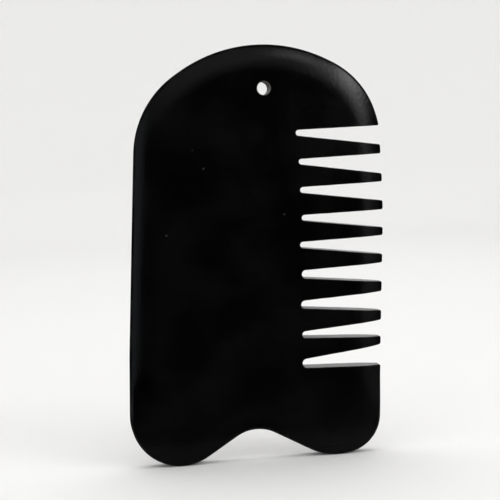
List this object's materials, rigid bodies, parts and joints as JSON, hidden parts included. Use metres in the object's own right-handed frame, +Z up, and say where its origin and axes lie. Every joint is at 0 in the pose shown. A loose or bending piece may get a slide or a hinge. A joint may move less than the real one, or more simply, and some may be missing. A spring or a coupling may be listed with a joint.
{
  "type": "beard comb",
  "caption": "Flat comb of black polished stone with wide sawn teeth down one side, a rounded crown with a hanging hole, and a notched foot.",
  "frame": {"origin": "the middle of the comb's box at the level of its two feet", "axes": "+Z up along the comb, from the feet to the crown with the hanging hole; +X from the spine to the teeth; +Y through the plate, from the front face to the back face"},
  "size_m": [0.0638, 0.0056, 0.1],
  "materials": {
    "black_stone": "satin polish, faintly clouded, worn bright along the teeth"
  },
  "bodies": {
    "root": {"comb": "black_stone"}
  },
  "joints": []
}
